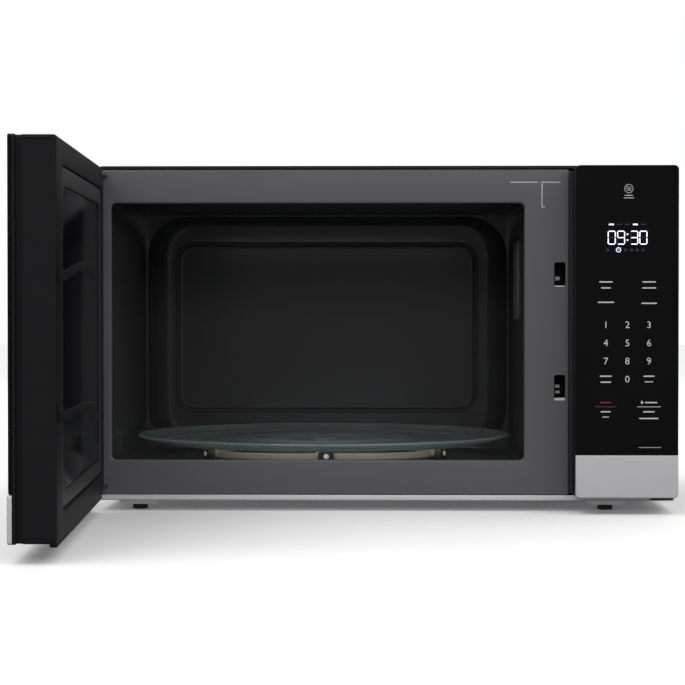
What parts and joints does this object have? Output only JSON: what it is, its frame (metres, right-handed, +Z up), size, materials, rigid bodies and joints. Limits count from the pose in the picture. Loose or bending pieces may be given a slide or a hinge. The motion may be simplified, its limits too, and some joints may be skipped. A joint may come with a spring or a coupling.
{
  "type": "microwave oven",
  "caption": "Countertop microwave oven with a side-hinged door, touch control panel and a glass turntable on a roller ring.",
  "frame": {"origin": "bottom centre of the bounding box with the door standing open, on the surface the feet rest on", "axes": "+Y from the front to the back of the oven, +Z up, +X towards the control panel"},
  "size_m": [0.6434, 0.9628, 0.3644],
  "materials": {
    "casing_paint": "satin black powder paint",
    "frame_paint": "smooth satin grey paint",
    "cavity_enamel": "semi-gloss grey enamel",
    "galvanised": "bright galvanised sheet",
    "pin_steel": "ground steel",
    "foot_rubber": "moulded black rubber",
    "black_plastic": "fine-textured moulded black",
    "roller_plastic": "moulded dark brown",
    "white_plastic": "moulded off-white",
    "ring_plastic": "moulded grey-beige",
    "front_glass": "polished black-backed glass",
    "window_film": "smoked gloss film",
    "silver_trim": "fine silver finish",
    "screen_steel": "dark painted perforated sheet",
    "tray_glass": "clear green-tinted glass",
    "lamp_glass": "clear bulb glass",
    "mica": "pressed mica board",
    "aluminium": "plain aluminium",
    "circuit_board": "green circuit board",
    "copper_winding": "enamelled copper winding"
  },
  "bodies": {
    "cabinet": {"outer_casing": "casing_paint", "rear_panel": "casing_paint", "front_frame": "frame_paint", "latch_plate": "frame_paint", "cavity_liner": "cavity_enamel", "base_pan": "galvanised", "waveguide": "galvanised", "fan_motor": "galvanised", "turntable_motor": "galvanised", "upper_hinge_bracket": "galvanised", "lower_hinge_bracket": "galvanised", "upper_hinge_pin": "pin_steel", "lower_hinge_pin": "pin_steel", "front_left_foot": "foot_rubber", "front_right_foot": "foot_rubber", "rear_left_foot": "foot_rubber", "rear_right_foot": "foot_rubber", "control_panel_frame": "black_plastic", "cord_gland": "black_plastic", "primary_switch": "black_plastic", "monitor_switch": "black_plastic", "secondary_switch": "black_plastic", "humidity_sensor": "black_plastic", "fan_shroud": "black_plastic", "latch_board": "white_plastic", "lamp_socket": "white_plastic", "thermal_cutout": "white_plastic", "control_panel_glass": "front_glass", "display_module": "window_film", "control_lower_trim": "silver_trim", "cavity_lamp": "lamp_glass", "waveguide_cover": "mica", "magnetron": "aluminium", "inverter_heat_sink": "aluminium", "inverter_board": "circuit_board", "noise_filter_board": "circuit_board", "control_board": "circuit_board", "inverter_transformer": "copper_winding"},
    "door": {"door_glass": "front_glass", "door_lower_trim": "silver_trim", "door_frame": "black_plastic", "door_inner_pan": "frame_paint", "door_inner_window": "window_film", "door_screen": "screen_steel", "door_choke_cover": "black_plastic"},
    "latch": {"latch_lever": "black_plastic", "latch_spring": "pin_steel"},
    "turntable": {"turntable_coupler": "white_plastic", "glass_tray": "tray_glass"},
    "roller_ring": {"roller_ring": "ring_plastic"},
    "fan": {"fan_blades": "white_plastic"},
    "primary_plunger": {"primary_switch_plunger": "white_plastic"},
    "monitor_plunger": {"monitor_switch_plunger": "white_plastic"},
    "secondary_plunger": {"secondary_switch_plunger": "white_plastic"},
    "roller_1": {"ring_roller_1": "roller_plastic"},
    "roller_2": {"ring_roller_2": "roller_plastic"},
    "roller_3": {"ring_roller_3": "roller_plastic"},
    "roller_4": {"ring_roller_4": "roller_plastic"},
    "roller_5": {"ring_roller_5": "roller_plastic"},
    "roller_6": {"ring_roller_6": "roller_plastic"}
  },
  "joints": [
    {"name": "door_hinge", "type": "hinge", "parent": "cabinet", "child": "door", "pos_m": [-0.28261, 0.01518, 0.19], "axis": [0, 0, 1], "range_deg": [-12.6, 87.4]},
    {"name": "latch_lift", "type": "slide", "parent": "door", "child": "latch", "axis": [0, 0, 1], "range_m": [0, 0.004], "stiffness_N_per_m": 400, "springref_m": -0.004, "deforming": ["latch_spring"]},
    {"name": "turntable_spin", "type": "hinge", "parent": "cabinet", "child": "turntable", "pos_m": [-0.05381, 0.23938, 0.06], "axis": [0, 0, 1], "continuous": true},
    {"name": "ring_spin", "type": "hinge", "parent": "cabinet", "child": "roller_ring", "pos_m": [-0.05381, 0.23938, 0.05], "axis": [0, 0, 1], "continuous": true},
    {"name": "fan_spin", "type": "hinge", "parent": "cabinet", "child": "fan", "pos_m": [0.24619, 0.43338, 0.245], "axis": [0, 1, 0], "continuous": true},
    {"name": "roller_1_spin", "type": "hinge", "parent": "roller_ring", "child": "roller_1", "pos_m": [-0.04732, 0.11555, 0.05115], "axis": [0.0523, -0.9986, 0], "continuous": true},
    {"name": "roller_2_spin", "type": "hinge", "parent": "roller_ring", "child": "roller_2", "pos_m": [0.07984, 0.17128, 0.05115], "axis": [0.891, -0.454, 0], "continuous": true},
    {"name": "roller_3_spin", "type": "hinge", "parent": "roller_ring", "child": "roller_3", "pos_m": [0.05019, 0.30691, 0.05115], "axis": [0.8387, 0.5446, 0], "continuous": true},
    {"name": "roller_4_spin", "type": "hinge", "parent": "roller_ring", "child": "roller_4", "pos_m": [-0.06166, 0.38917, 0.05115], "axis": [-0.0523, 0.9986, 0], "continuous": true},
    {"name": "roller_5_spin", "type": "hinge", "parent": "roller_ring", "child": "roller_5", "pos_m": [-0.16429, 0.29567, 0.05115], "axis": [-0.891, 0.454, 0], "continuous": true},
    {"name": "roller_6_spin", "type": "hinge", "parent": "roller_ring", "child": "roller_6", "pos_m": [-0.17961, 0.15768, 0.05115], "axis": [-0.8387, -0.5446, 0], "continuous": true},
    {"name": "primary_switch_press", "type": "slide", "parent": "cabinet", "child": "primary_plunger", "axis": [0, 1, 0], "range_m": [0, 0.0015], "stiffness_N_per_m": 150, "springref_m": -0.002},
    {"name": "monitor_switch_press", "type": "slide", "parent": "cabinet", "child": "monitor_plunger", "axis": [0, 1, 0], "range_m": [0, 0.0015], "stiffness_N_per_m": 150, "springref_m": -0.002},
    {"name": "secondary_switch_press", "type": "slide", "parent": "cabinet", "child": "secondary_plunger", "axis": [0, 1, 0], "range_m": [0, 0.0015], "stiffness_N_per_m": 150, "springref_m": -0.002}
  ],
  "couplings": [
    {"joint": "ring_spin", "follows": "turntable_spin", "ratio": 0.5},
    {"joint": "roller_1_spin", "follows": "turntable_spin", "ratio": -7.0056},
    {"joint": "roller_2_spin", "follows": "turntable_spin", "ratio": -8.4746},
    {"joint": "roller_3_spin", "follows": "turntable_spin", "ratio": -7.0056},
    {"joint": "roller_4_spin", "follows": "turntable_spin", "ratio": -8.4746},
    {"joint": "roller_5_spin", "follows": "turntable_spin", "ratio": -7.0056},
    {"joint": "roller_6_spin", "follows": "turntable_spin", "ratio": -8.4746}
  ]
}
